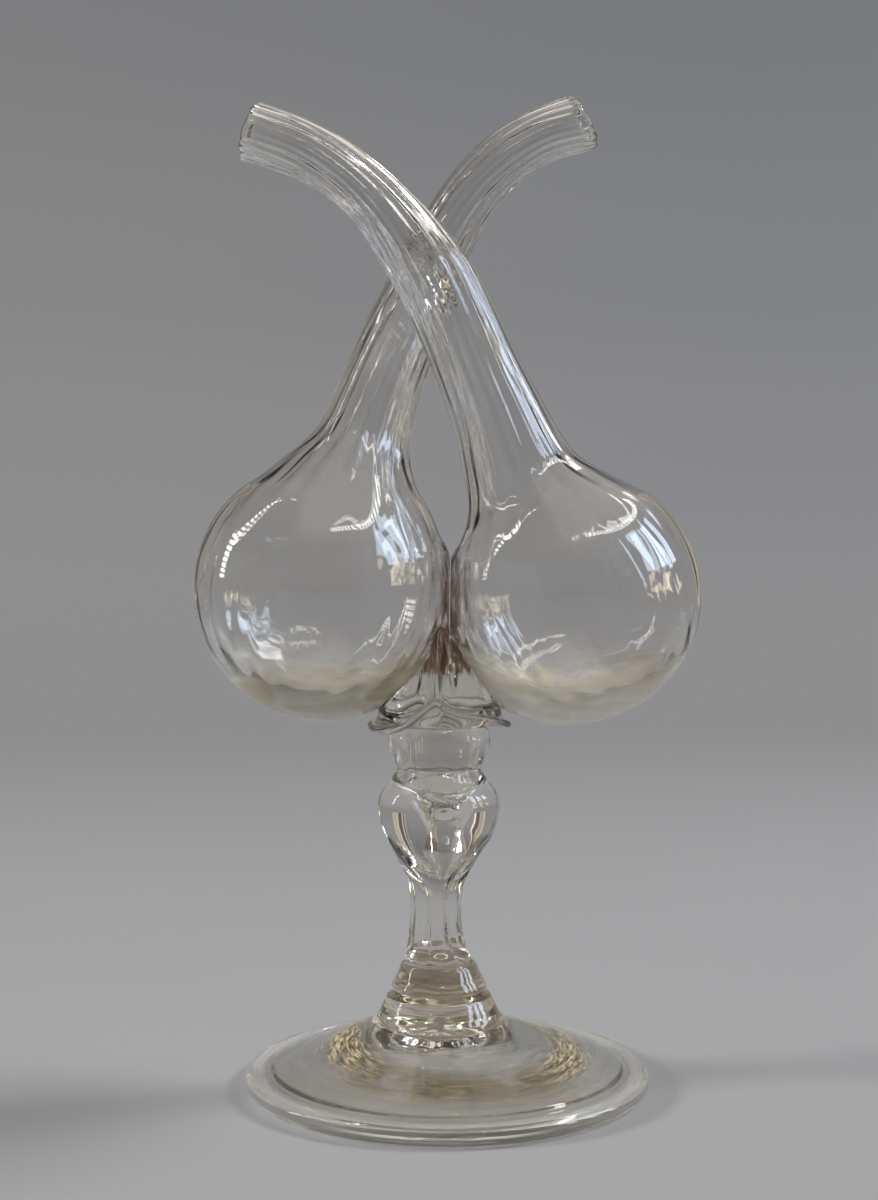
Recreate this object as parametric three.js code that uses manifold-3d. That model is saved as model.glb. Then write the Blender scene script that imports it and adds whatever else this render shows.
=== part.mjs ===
// Double cruet for oil and vinegar in free-blown glass: two flasks with crossed necks, held by a
// pinched collar on a knop, a ribbed hollow baluster, a short cone and a wide domed foot.
// Millimetres, +Z up. The origin is on the table under the middle of the foot. +X is to the
// right of someone who looks along +Y, and the right flask's neck crosses in front, at -Y.

import * as THREE from 'three';
import { mergeVertices } from 'three/addons/utils/BufferGeometryUtils.js';
import Module from 'manifold-3d';

const wasm = await Module();
wasm.setup();

// Clearance between pieces that are fused on the real object
const GAP = 0.3;

// The plane where the two bulbs press against each other, and how softly they flatten there
const CONTACT_X = 0.9;
const CONTACT_SOFT = 0.6;

// Walls of the flasks: at the mouth, in the neck, round the bulb and under it, and where the two
// rings that round a lip stand, as shares of its half turn
const MOUTH_WALL = 2.7;
const NECK_WALL = 2.5;
const BULB_WALL = 2.1;
const BOTTOM_EXTRA = 3.6;
const LIP_TURNS = [1 / 3, 2 / 3];

// A flask counts as bulb up to the first share of its radius and as neck past the second
const BULB_REACH = 1.15;
const NECK_REACH = 1.35;

// Mesh fineness: sides of a flask and of a turned piece, degrees of latitude between the rings
// of a bulb, and how far along the centre line its direction is measured
const FLASK_SIDES = 24;
const TURNED_SIDES = 40;
const FOOT_SIDES = 44;
const BULB_STEP = 12;
const TANGENT_STEP = 0.02;

// Each flask: the bulb's centre and radius, the tilt of its axis from upright towards +X, the
// latitude up to which it is round, and then its neck as stations [x, y, z, outer radius] up to
// the mouth, whose cut leans by mouthLean. heel is where the bulb sags onto the collar: its
// direction from the bulb's centre in the XZ plane, in degrees from straight down towards +X,
// with its height and its spread.
const LEFT_FLASK = {
  side: -1,
  centre: [-35.9, 0, 142.3],
  radius: 37.4,
  tilt: 15.6,
  roundTo: 42,
  heel: { turn: 12, height: 1.4, spread: 32 },
  mouthLean: 13,
  neck: [
    [-27.5, 0, 173.2, 22.0],
    [-25.9, 0.3, 178.6, 17.3],
    [-24.2, 0.8, 184.2, 14.4],
    [-21.9, 1.7, 191.8, 13.0],
    [-17.6, 4.4, 205.3, 11.9],
    [-12.6, 8.9, 218.8, 11.3],
    [-7.1, 11.3, 232.1, 10.3],
    [-1.1, 11.9, 245.0, 9.3],
    [5.9, 12.2, 257.4, 8.8],
    [15.4, 12.5, 268.1, 8.6],
    [26.9, 12.8, 276.2, 8.4],
    [39.2, 13.0, 280.4, 8.7],
  ],
};
const RIGHT_FLASK = {
  side: 1,
  centre: [36.7, 0, 140.6],
  radius: 36.6,
  tilt: -24.6,
  roundTo: 39,
  heel: { turn: -30, height: 2.8, spread: 30 },
  mouthLean: 2,
  neck: [
    [24.8, 0, 167.2, 22.3],
    [22.3, -0.3, 172.6, 18.0],
    [19.4, -0.8, 179.5, 15.8],
    [14.5, -2.0, 192.1, 13.7],
    [8.9, -4.6, 204.2, 12.5],
    [3.2, -8.9, 216.3, 11.9],
    [-2.9, -11.4, 228.2, 11.5],
    [-10.3, -12.0, 239.4, 10.4],
    [-18.8, -12.3, 249.9, 9.1],
    [-29.2, -12.6, 258.9, 8.5],
    [-41.0, -12.9, 265.7, 8.5],
    [-54.0, -13.0, 270.0, 8.7],
  ],
};

// The weld between the crossed necks: its centre, half-sizes along the front neck, across it and
// through it, and its lean from upright
const WELD = { centre: [-4.8, 0, 232.6], along: 16.5, across: 6.8, through: 7.5, lean: -24 };

// The stem's axis stands a little to the left of the foot's centre, and between four heights it
// bows further out and back
const STEM_X = -2.3;
const STEM_BOW = { out: -0.9, from: 30, full: 46, fades: 54, to: 76 };

// The pinched collar: the lip's mean radius and height, how far its waves push it out and down,
// its thickness, where it turns under as shares of that thickness, its seat on the knop, and the
// ridge that fills the valley between the bulbs, reached by shoulders at shares of the way up
const COLLAR = {
  lipRadius: 18.6,
  lipOut: 2.3,
  lipZ: 105.0,
  lipDown: 3.7,
  lip: 2.4,
  under: 1.6,
  underRise: 0.3,
  seatRadius: 14.2,
  seatZ: 102.9,
  ridgeZ: 119.5,
  ridgeAlong: 12.5,
  ridgeAcross: 3.0,
  crown: 0.8,
  shoulders: [0.12, 0.35, 0.6, 0.85, 1],
  shoulderBend: 0.8,
};

// Turned profiles as [radius, height], outside from the bottom up and then the bore downwards
const KNOP = {
  outside: [[12.0, 90.8], [13.4, 93.4], [14.6, 96.2], [14.9, 98.9], [14.5, 101.2], [13.6, 102.6]],
  bore: [[9.4, 102.6], [9.9, 99.0], [9.3, 94.5], [8.2, 90.8]],
};
const STEM_CONE = [
  [0, 27.2], [13.4, 27.2], [13.9, 27.9], [13.4, 29.4], [12.0, 32.0], [10.8, 34.5], [10.2, 35.0],
  [0, 35.0],
];
const FOOT_TOP = [
  [13.2, 26.9], [14.9, 25.7], [15.9, 23.7], [17.4, 20.8], [19.3, 18.5], [22.4, 16.7], [26.2, 15.1],
  [31.2, 13.2], [37.2, 11.0], [44.0, 8.5], [49.4, 6.3], [51.6, 5.1],
];
const FOOT_UNDER = [
  [52.0, 1.4], [47.6, 2.8], [40.0, 5.1], [30.0, 8.0], [20.0, 10.9], [12.6, 12.7], [11.2, 13.9],
  [0, 14.3],
];

// The foot's rim, folded under into a bead, with the flat ring it stands on, and how far out from
// the middle its dome still follows the stem's axis
const FOOT = {
  radius: 58.0,
  fold: 2.75,
  foldFrom: 150,
  foldTo: -45,
  foldStep: 32.5,
  restFrom: 53.4,
  restTo: 55.8,
  stemReach: 20,
  plateFrom: 44,
};

// The baluster: its outside as [height, radius], the air inside it, and its moulded panels, which
// grow out of the foot of the stem and fade into the shoulder
const BALUSTER = {
  outside: [
    [35.3, 9.7], [37.0, 10.1], [39.6, 9.0], [43.8, 8.1], [49.0, 7.7], [54.0, 7.8], [58.5, 8.6],
    [62.5, 10.6], [66.5, 13.0], [71.0, 15.7], [75.5, 17.4], [80.0, 17.9], [84.0, 16.9],
    [87.6, 14.1], [90.5, 12.1],
  ],
  air: [
    [90.5, 8.4], [87.0, 9.4], [83.0, 11.6], [79.5, 10.2], [75.5, 6.0], [71.5, 4.0], [68.0, 4.9],
    [64.0, 3.6], [59.0, 1.8],
  ],
  airTip: 57.4,
  panels: 8,
  panelSides: 5,
  panelTurn: -4,
  panelDepth: 0.12,
  panelFull: 40,
  panelFrom: 62,
  panelTo: 80,
};

const radians = THREE.MathUtils.degToRad;
const smooth = THREE.MathUtils.smoothstep;

// A closed surface through rings of points, with a point that shuts it before the first ring
// and one after the last
function skin(first, rings, last) {
  const count = rings[0].length;
  const points = [first, ...rings.flat(), last];
  const index = [];
  const at = (ring, i) => 1 + ring * count + (i % count);
  for (let i = 0; i < count; i += 1) {
    index.push(0, at(0, i + 1), at(0, i));
    index.push(points.length - 1, at(rings.length - 1, i), at(rings.length - 1, i + 1));
    for (let ring = 0; ring < rings.length - 1; ring += 1) {
      index.push(at(ring, i), at(ring, i + 1), at(ring + 1, i + 1));
      index.push(at(ring, i), at(ring + 1, i + 1), at(ring + 1, i));
    }
  }
  const geometry = new THREE.BufferGeometry().setFromPoints(points);
  geometry.setIndex(index);
  geometry.computeVertexNormals();
  return geometry;
}

// A smooth curve through rows of numbers, at t rows from the first
function between(rows, t) {
  const last = rows.length - 1;
  const i = Math.min(Math.floor(t), last - 1);
  const f = t - i;
  const row = (k) => rows[THREE.MathUtils.clamp(k, 0, last)];
  return rows[i].map((_, axis) => {
    const [a, b, c, d] = [row(i - 1)[axis], row(i)[axis], row(i + 1)[axis], row(i + 2)[axis]];
    return b + 0.5 * f * (c - a + f * (2 * a - 5 * b + 4 * c - d + f * (3 * (b - c) + d - a)));
  });
}

// Stations of a flask's centre line [x, y, z, radius]: round the bulb by latitude, then the neck
function flaskStations(flask) {
  const [x, y, z] = flask.centre;
  const axis = [Math.sin(radians(flask.tilt)), 0, Math.cos(radians(flask.tilt))];
  const stations = [];
  for (let latitude = -90 + BULB_STEP; latitude <= flask.roundTo; latitude += BULB_STEP) {
    const rise = flask.radius * Math.sin(radians(latitude));
    const radius = flask.radius * Math.cos(radians(latitude));
    stations.push([x + rise * axis[0], y, z + rise * axis[2], radius]);
  }
  return [...stations, ...flask.neck];
}

// The sag of the bulb onto the collar, and the flat where it presses on its neighbour
function settle(point, flask, grow) {
  const centre = new THREE.Vector3(...flask.centre);
  const away = point.clone().sub(centre);
  const turn = radians(flask.heel.turn);
  const heel = new THREE.Vector3(Math.sin(turn), 0, -Math.cos(turn));
  const angle = THREE.MathUtils.radToDeg(away.angleTo(heel)) / flask.heel.spread;
  const shares = [BULB_REACH * flask.radius, NECK_REACH * flask.radius];
  const onBulb = 1 - smooth(away.length(), ...shares);
  const sag = flask.heel.height * Math.exp(-angle * angle) * onBulb;
  point.add(away.normalize().multiplyScalar(sag));
  const free = flask.side * (point.x - CONTACT_X) - GAP / 2 + grow;
  const soft = CONTACT_SOFT * Math.log1p(Math.exp(-Math.abs(free) / CONTACT_SOFT));
  point.x += flask.side * (soft + Math.max(0, -free)) * onBulb;
  return point;
}

// A ring of the flask's outside at t stations along its centre line, made larger by grow
function flaskRing(flask, stations, t, grow = 0) {
  const [x, y, z, radius] = between(stations, t);
  const last = stations.length - 1;
  const ahead = between(stations, Math.min(t + TANGENT_STEP, last));
  const behind = between(stations, Math.max(t - TANGENT_STEP, 0));
  const along = new THREE.Vector3(...ahead).sub(new THREE.Vector3(...behind)).normalize();
  const across = new THREE.Vector3(0, 1, 0).cross(along).normalize();
  const through = along.clone().cross(across);
  const centre = new THREE.Vector3(x, y, z);
  const cut = -flask.side * Math.tan(radians(flask.mouthLean)) * smooth(t, last - 1, last);
  const points = [];
  for (let i = 0; i < FLASK_SIDES; i += 1) {
    const angle = (2 * Math.PI * i) / FLASK_SIDES;
    const point = centre.clone().addScaledVector(across, (radius + grow) * Math.cos(angle));
    point.addScaledVector(through, (radius + grow) * Math.sin(angle));
    point.addScaledVector(along, cut * radius * Math.cos(angle));
    points.push(settle(point, flask, grow));
  }
  return { centre, along, across, points };
}

// The bottom of a bulb, outside
function flaskPole(flask, grow = 0) {
  const turn = radians(flask.tilt);
  const down = new THREE.Vector3(-Math.sin(turn), 0, -Math.cos(turn));
  const pole = new THREE.Vector3(...flask.centre).addScaledVector(down, flask.radius + grow);
  return settle(pole, flask, grow);
}

// A point of the outside moved in by the wall's thickness, thicker towards the bottom
function insideOf(point, aim, wall, flask) {
  const away = point.clone().sub(new THREE.Vector3(...flask.centre)).normalize();
  const low = Math.max(0, -away.z) ** 3;
  const inward = aim.clone().sub(point).normalize();
  return point.clone().addScaledVector(inward, wall + BOTTOM_EXTRA * low);
}

// The wall's thickness at t stations along: bulb, then neck, then mouth
function wallAt(t, bulbEnd, last) {
  const neck = smooth(t, bulbEnd - 1, bulbEnd + 3);
  const mouth = smooth(t, last - 2, last);
  return BULB_WALL + (NECK_WALL - BULB_WALL) * neck + (MOUTH_WALL - NECK_WALL) * mouth;
}

// A flask as one open vessel: the outside up to the mouth, its rounded lip, and the inside down
function flaskShell(flask) {
  const stations = flaskStations(flask);
  const last = stations.length - 1;
  const bulbEnd = last - flask.neck.length;
  const bulbCentre = new THREE.Vector3(...flask.centre);
  const inward = (ring, t) => {
    const wall = wallAt(t, bulbEnd, last);
    const lift = smooth(t, bulbEnd - 6, bulbEnd);
    const aim = bulbCentre.clone().lerp(ring.centre, lift);
    return ring.points.map((point) => insideOf(point, aim, wall, flask));
  };
  const outside = [];
  for (let t = 0; t <= last; t += t < bulbEnd ? 1 : 0.5) outside.push(flaskRing(flask, stations, t).points);
  const inside = [];
  for (let t = last; t >= 0; t -= 1) inside.push(inward(flaskRing(flask, stations, t), t));
  const mouth = flaskRing(flask, stations, last);
  const lip = LIP_TURNS.map((turn) => {
    const share = (1 - Math.cos(Math.PI * turn)) / 2;
    const forward = (MOUTH_WALL / 2) * Math.sin(Math.PI * turn);
    const middle = mouth.points.map((point, i) => point.clone().lerp(inside[0][i], share));
    return middle.map((point) => point.addScaledVector(mouth.along, forward));
  });
  const pole = flaskPole(flask);
  const rings = [...outside, ...lip, ...inside];
  return skin(pole, rings, insideOf(pole, bulbCentre, BULB_WALL, flask));
}

// A flask's outside as a filled shape, larger by the gap, to cut its neighbours with
function flaskSpace(flask) {
  const stations = flaskStations(flask);
  const last = stations.length - 1;
  const rings = [];
  for (let t = 0; t <= last; t += 0.5) rings.push(flaskRing(flask, stations, t, GAP).points);
  const end = new THREE.Vector3(...stations[last].slice(0, 3));
  return skin(flaskPole(flask, GAP), rings, end);
}

function toManifold(geometry) {
  const bare = geometry.clone();
  bare.deleteAttribute('normal');
  bare.deleteAttribute('uv');
  const merged = mergeVertices(bare, 1e-4);
  const solid = new wasm.Mesh({
    numProp: 3,
    vertProperties: new Float32Array(merged.attributes.position.array),
    triVerts: new Uint32Array(merged.index.array),
  });
  return new wasm.Manifold(solid);
}

function toGeometry(manifold) {
  const mesh = manifold.getMesh();
  const geometry = new THREE.BufferGeometry();
  geometry.setAttribute('position', new THREE.BufferAttribute(new Float32Array(mesh.vertProperties), 3));
  geometry.setIndex(new THREE.BufferAttribute(new Uint32Array(mesh.triVerts), 1));
  geometry.computeVertexNormals();
  return geometry;
}

// A piece with both flasks cut out of it
function clearOfFlasks(geometry) {
  let solid = toManifold(geometry);
  for (const flask of [LEFT_FLASK, RIGHT_FLASK]) solid = solid.subtract(toManifold(flaskSpace(flask)));
  return toGeometry(solid);
}

// The bead of glass pressed between the necks, cut to fit them
function neckWeld() {
  const bead = new THREE.SphereGeometry(1, 24, 16);
  bead.scale(WELD.across, WELD.through, WELD.along);
  bead.rotateY(radians(WELD.lean));
  bead.translate(...WELD.centre);
  return clearOfFlasks(bead);
}

// The axis of the stem at a height
function stemX(z) {
  const bow = smooth(z, STEM_BOW.from, STEM_BOW.full) * (1 - smooth(z, STEM_BOW.fades, STEM_BOW.to));
  return STEM_X + STEM_BOW.out * bow;
}

// A ring round the stem's axis whose radius and height are functions of the angle
function roundRing(sides, radius, height) {
  const points = [];
  for (let i = 0; i < sides; i += 1) {
    const angle = (2 * Math.PI * i) / sides;
    const x = stemX(height(angle)) + radius(angle) * Math.cos(angle);
    const y = radius(angle) * Math.sin(angle);
    points.push(new THREE.Vector3(x, y, height(angle)));
  }
  return points;
}

// The collar: a flat seat on the knop, a skirt with a rolled and waved lip, and a ridge that
// rises into the valley between the bulbs, with the bulbs pressed into it
function pinchedCollar() {
  const { lipRadius, lipOut, lipZ, lipDown, lip } = COLLAR;
  const { seatRadius, seatZ, ridgeZ, ridgeAlong, ridgeAcross, shoulders, shoulderBend } = COLLAR;
  const wave = (angle) => Math.cos(2 * angle);
  const lipAt = (angle) => lipRadius + lipOut * wave(angle);
  const heightAt = (angle) => lipZ - lipDown * wave(angle);
  const ridgeAt = (angle) => 1 / Math.hypot(Math.cos(angle) / ridgeAcross, Math.sin(angle) / ridgeAlong);
  const ring = (inward, rise) =>
    roundRing(TURNED_SIDES, (angle) => lipAt(angle) - inward, (angle) => heightAt(angle) + rise);
  const shoulder = (share) =>
    roundRing(
      TURNED_SIDES,
      (angle) => THREE.MathUtils.lerp(lipAt(angle) - lip, ridgeAt(angle), share),
      (angle) => THREE.MathUtils.lerp(heightAt(angle) + lip / 2, ridgeZ, share ** shoulderBend),
    );
  const bead = [-90, -45, 0, 45, 90].map((turn) => {
    const inward = (lip / 2) * (1 - Math.cos(radians(turn)));
    return ring(inward, (lip / 2) * Math.sin(radians(turn)));
  });
  const rings = [
    roundRing(TURNED_SIDES, () => seatRadius, () => seatZ),
    ring(COLLAR.under * lip, -COLLAR.underRise * lip),
    ...bead,
    ...shoulders.map(shoulder),
  ];
  const below = new THREE.Vector3(stemX(seatZ), 0, seatZ);
  const above = new THREE.Vector3(stemX(ridgeZ), 0, ridgeZ + COLLAR.crown);
  return clearOfFlasks(skin(below, rings, above));
}

// A turned piece on the stem's axis, from a profile of [radius, height]
function turned(profile, sides = TURNED_SIDES) {
  const outline = profile.map(([radius, height]) => new THREE.Vector2(radius, height));
  const lathe = new THREE.LatheGeometry(outline, sides);
  lathe.rotateX(Math.PI / 2);
  return lathe;
}

// The hollow knop, a short thick-walled tube with a swollen outside
function knop() {
  const geometry = turned([...KNOP.outside, ...KNOP.bore, KNOP.outside[0]]);
  return geometry.translate(STEM_X, 0, 0);
}

// The baluster: a round shoulder that turns into moulded panels below, with a tear of air inside
function balusterStem() {
  const { outside, air, airTip, panels, panelTurn, panelDepth, panelFull, panelFrom, panelTo } = BALUSTER;
  const sides = panels * BALUSTER.panelSides;
  const low = outside[0][0];
  const panelled = (z, radius) => (angle) => {
    const across = ((angle - radians(panelTurn - 90)) * panels) / 2;
    const depth = panelDepth * (1 - smooth(z, panelFrom, panelTo)) * smooth(z, low, panelFull);
    return radius * (1 - depth * Math.abs(Math.sin(across)));
  };
  const rings = outside.map(([z, radius]) => roundRing(sides, panelled(z, radius), () => z));
  for (const [z, radius] of air) rings.push(roundRing(sides, () => radius, () => z));
  const base = new THREE.Vector3(stemX(low), 0, low);
  return skin(base, rings, new THREE.Vector3(stemX(airTip), 0, airTip));
}

// The short cone under the baluster, with the seam ring round its lower edge
function stemCone() {
  return turned(STEM_CONE).translate(STEM_X, 0, 0);
}

// The foot: a dome that rises off centre to the stem, a rim folded under, and a flat rest
function foot() {
  const { radius, fold, foldFrom, foldTo, foldStep, restFrom, restTo, stemReach, plateFrom } = FOOT;
  const rim = [];
  for (let angle = foldFrom; angle >= foldTo; angle -= foldStep) {
    const out = radius - fold + fold * Math.cos(radians(angle));
    rim.push([out, fold + fold * Math.sin(radians(angle))]);
  }
  const profile = [
    [0, FOOT_TOP[0][1]], ...FOOT_TOP, ...rim, [restTo, 0], [restFrom, 0], ...FOOT_UNDER,
  ].reverse();
  const geometry = turned(profile, FOOT_SIDES);
  const place = geometry.attributes.position;
  for (let i = 0; i < place.count; i += 1) {
    const out = Math.hypot(place.getX(i), place.getY(i));
    place.setX(i, place.getX(i) + STEM_X * (1 - smooth(out, stemReach, plateFrom)));
  }
  geometry.computeVertexNormals();
  return geometry;
}

const cruet = new THREE.Group();

function add(name, geometry, color, roughness = 0.04) {
  const material = new THREE.MeshStandardMaterial({ color, roughness, metalness: 0 });
  material.transparent = true;
  material.opacity = 0.45;
  const mesh = new THREE.Mesh(geometry, material);
  mesh.name = name;
  cruet.add(mesh);
}

add('flask_left', flaskShell(LEFT_FLASK), '#d9dbd2');
add('flask_right', flaskShell(RIGHT_FLASK), '#d8dad1');
add('neck_weld', neckWeld(), '#cfc9b8', 0.08);
add('pinched_collar', pinchedCollar(), '#d2cfbf');
add('knop', knop(), '#d6d7cd');
add('baluster_stem', balusterStem(), '#d7d8cf');
add('stem_cone', stemCone(), '#d3d3c8');
add('foot', foot(), '#d6d6cb', 0.06);

export default cruet;
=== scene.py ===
import math

import bpy
import numpy as np
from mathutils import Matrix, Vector
from mathutils.bvhtree import BVHTree


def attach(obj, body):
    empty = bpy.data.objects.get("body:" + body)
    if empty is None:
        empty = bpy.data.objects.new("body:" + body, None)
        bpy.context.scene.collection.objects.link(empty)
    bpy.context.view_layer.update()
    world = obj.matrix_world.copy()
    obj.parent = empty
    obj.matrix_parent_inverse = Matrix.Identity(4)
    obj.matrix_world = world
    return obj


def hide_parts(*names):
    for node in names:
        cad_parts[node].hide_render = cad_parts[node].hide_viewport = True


# Looks of a free-blown glass double cruet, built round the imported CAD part. Shapes are in
# millimetres and become metres when a mesh is made.
MM = 0.001
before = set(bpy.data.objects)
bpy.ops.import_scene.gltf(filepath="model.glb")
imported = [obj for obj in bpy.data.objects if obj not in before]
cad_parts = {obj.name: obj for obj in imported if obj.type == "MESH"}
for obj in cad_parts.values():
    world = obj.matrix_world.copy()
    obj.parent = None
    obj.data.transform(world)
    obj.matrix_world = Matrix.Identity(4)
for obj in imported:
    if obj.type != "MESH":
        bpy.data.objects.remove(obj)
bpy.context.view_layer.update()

# The camera: level, in front of the object. Its focal length, in pixels of a photograph that is
# 1200 high, was fitted to the outline and the foot's rim, and isn't a known one.
CAMERA_AT = (-0.0023, -0.463, 0.139)
SENSOR = 24.0
FOCAL = 1605 / 1200 * SENSOR

# How far the visible glass stays inside the outer faces of the CAD solids, and how near two
# pieces are where they count as fused
INSET = 0.2
FUSED_REACH = 0.45

# The plane where the bulbs are fused, the hair's breadth that stands for it, and how far from the
# plane the glass is drawn onto it as a web
CONTACT_X = 0.9
CONTACT_GAP = 0.03
WEB = (0.5, 3.0)

# Walls of the flasks: at the mouth, in the neck, round the bulb and under it
MOUTH_WALL = 2.7
NECK_WALL = 2.5
BULB_WALL = 2.1
BOTTOM_EXTRA = 3.6

# A flask counts as bulb up to the first share of its radius and as neck past the second
BULB_REACH = 1.15
NECK_REACH = 1.35

# Fineness: sides of a flask, millimetres between its rings, degrees between the CAD's latitudes,
# and millimetres between the rings of turned pieces
FLASK_SIDES = 288
RING_STEP = 0.9
BULB_STEP = 12
TURNED_STEP = 0.5

# Optic ribs left by the mould, outside and inside, their slow twist, how much they sway, and how
# much deeper they are in the necks
RIBS = 18
RIB_OUT = 0.03
RIB_IN = 0.09
RIB_TWIST = 0.5
RIB_TWIST_LENGTH = 60
RIB_SWAY = 0.8
NECK_RIBS = 0.5

# The slow waves of hand-blown glass, outside and inside, read on a tube of this radius with its
# length drawn in, the share of them left at the mouth, and the uneven cut of the lip
WAVE_OUT = 0.08
WAVE_IN = 0.18
WAVE_RADIUS = 14
WAVE_DRAW = 0.35
WAVE_AT_MOUTH = 0.3
LIP_UNEVEN = 0.3

# The wrinkles inside the bulbs, and how close they lie across, through and along a flask
WRINKLE_IN = 0.08
WRINKLE_CLOSE = (5.2, 5.2, 1.2)

# Cords: fine ridges drawn out along the necks, how many, and their height and width
CORDS = 18
CORD_HEIGHT = (0.03, 0.13)
CORD_WIDTH = (1.6, 5.0)

# Where each of these sets in or ends, in millimetres along the flask from the pole of its bulb
RIBS_FROM = (8, 40)
INWARD_FROM = (20, 85)
WRINKLES_FROM = (25, 60)
WRINKLES_END = (95, 62)
CORDS_FROM = (62, 105)
NECK_RIBS_FROM = (70, 110)
NECK_WALL_FROM = (75, 110)

# The same, in millimetres short of the mouth
CALM_MOUTH = (1, 16)
THICK_MOUTH = (25, 0)
LEANING_MOUTH = (13, 0)
UNEVEN_MOUTH = (9, 0)

LEFT_FLASK = {
    "name": "blown_flask_left",
    "node": "flask_left",
    "side": -1,
    "centre": (-35.9, 0, 142.3),
    "radius": 37.4,
    "tilt": 15.6,
    "round_to": 42,
    "heel": {"turn": 12, "height": 1.4, "spread": 32},
    "mouth_lean": 13,
    "seed": 11,
    "neck": [
        (-27.5, 0, 173.2, 22.0), (-25.9, 0.3, 178.6, 17.3), (-24.2, 0.8, 184.2, 14.4),
        (-21.9, 1.7, 191.8, 13.0), (-17.6, 4.4, 205.3, 11.9), (-12.6, 8.9, 218.8, 11.3),
        (-7.1, 11.3, 232.1, 10.3), (-1.1, 11.9, 245.0, 9.3), (5.9, 12.2, 257.4, 8.8),
        (15.4, 12.5, 268.1, 8.6), (26.9, 12.8, 276.2, 8.4), (39.2, 13.0, 280.4, 8.7),
    ],
}
RIGHT_FLASK = {
    "name": "blown_flask_right",
    "node": "flask_right",
    "side": 1,
    "centre": (36.7, 0, 140.6),
    "radius": 36.6,
    "tilt": -24.6,
    "round_to": 39,
    "heel": {"turn": -30, "height": 2.8, "spread": 30},
    "mouth_lean": 2,
    "seed": 23,
    "neck": [
        (24.8, 0, 167.2, 22.3), (22.3, -0.3, 172.6, 18.0), (19.4, -0.8, 179.5, 15.8),
        (14.5, -2.0, 192.1, 13.7), (8.9, -4.6, 204.2, 12.5), (3.2, -8.9, 216.3, 11.9),
        (-2.9, -11.4, 228.2, 11.5), (-10.3, -12.0, 239.4, 10.4), (-18.8, -12.3, 249.9, 9.1),
        (-29.2, -12.6, 258.9, 8.5), (-41.0, -12.9, 265.7, 8.5), (-54.0, -13.0, 270.0, 8.7),
    ],
}

# The weld between the necks: its centre, half-sizes along the front neck, across it and through
# it, its lean from upright, its clearance from the necks and how fast its ends taper
WELD = {
    "centre": (-4.8, 0, 232.6), "along": 14.0, "across": 6.0, "through": 4.0, "lean": -24, "gap": 0.12,
    "taper": 2.2, "sides": 96, "rows": 64,
}

# The stem's axis, with a bow in its lower part, and the sides of its turned pieces
STEM_X = -2.3
STEM_BOW = {"out": -0.9, "from": 30, "full": 46, "fades": 54, "to": 76}
STEM_SIDES = 192
BALUSTER_SIDES = 384

# Marks of hand work on the stem and the foot: turning lines, in radians a millimetre, and
# dimples, with the rows at each end of a piece that stay plain
LINE_PITCH = 3.9
LINE_DEPTH = 0.035
LINE_SWAY = 1.2
DIMPLES = 0.014
DIMPLE_LENGTH = 3.4
PLAIN_ROWS = 4

# The pinched collar: its wavy lip, its seat on the knop and the ridge between the bulbs
COLLAR = {
    "under": 3.4, "ridge_z": 133.0, "ridge_along": 9.0, "ridge_across": 2.0, "wave": 0.12,
    "bend_side": 0.35, "bend_front": 0.9, "gap": 0.06, "rays_below": 8, "sides": 360,
}

# The collar's folds as (depth, degrees round from the right, width): in front, then behind
FOLDS = [(2.4, 265, 8), (-2.0, 277, 5), (1.5, 84, 10), (-1.2, 98, 8)]

# The collar's rolled lip as (degrees round from the right, reach, height, thickness of the roll):
# the left petal sags lowest at the left front, and laps over the right one in the middle
LIP = [
    (0, 20.7, 103.2, 2.1), (40, 19.2, 103.8, 2.1), (90, 17.0, 104.9, 2.1), (140, 19.2, 103.8, 2.2),
    (180, 20.7, 103.2, 2.4), (208, 20.5, 102.3, 2.7), (232, 19.0, 103.6, 2.8), (250, 18.2, 106.9, 2.6),
    (262, 18.2, 109.7, 2.2), (269, 17.9, 110.2, 1.8), (274, 16.4, 108.8, 1.7), (290, 17.3, 107.1, 1.9),
    (312, 18.8, 106.1, 1.9), (338, 20.2, 104.3, 2.0),
]

# Heights where pieces are fused, and the radii of the bore and the outside there
KNOP_TOP = 102.75
KNOP_TOP_BORE = 9.4
KNOP_TOP_RADIUS = 13.5
KNOP_FOOT = 90.65
KNOP_FOOT_BORE = 8.3
KNOP_FOOT_RADIUS = 12.0
STEM_FOOT = 35.15
STEM_FOOT_RADIUS = 9.6
CONE_FOOT = 27.05
CONE_FOOT_RADIUS = 12.6

# Profiles as (height, radius): the knop and its bore, the baluster and its tear of air, the cone
KNOP_OUT = [
    (KNOP_FOOT, KNOP_FOOT_RADIUS), (93.4, 13.3), (96.2, 14.5), (98.9, 14.8), (101.2, 14.4),
    (KNOP_TOP, KNOP_TOP_RADIUS),
]
KNOP_BORE = [(KNOP_TOP, KNOP_TOP_BORE), (99.0, 9.9), (94.5, 9.3), (KNOP_FOOT, KNOP_FOOT_BORE)]
BALUSTER_OUT = [
    (STEM_FOOT, STEM_FOOT_RADIUS), (37.0, 10.0), (39.6, 8.9), (43.8, 8.0), (49.0, 7.6), (54.0, 7.7),
    (58.5, 8.5), (62.5, 10.5), (66.5, 12.9), (71.0, 15.6), (75.5, 17.3), (80.0, 17.8), (84.0, 16.8),
    (87.6, 14.0), (KNOP_FOOT, KNOP_FOOT_RADIUS),
]
BALUSTER_AIR = [
    (KNOP_FOOT, KNOP_FOOT_BORE), (88.0, 9.3), (85.0, 10.5), (82.3, 9.6), (79.8, 6.9), (77.4, 4.6),
    (74.8, 3.3), (72.0, 3.7), (69.6, 3.9), (66.4, 2.9), (63.0, 1.9), (60.4, 1.0),
]
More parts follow.
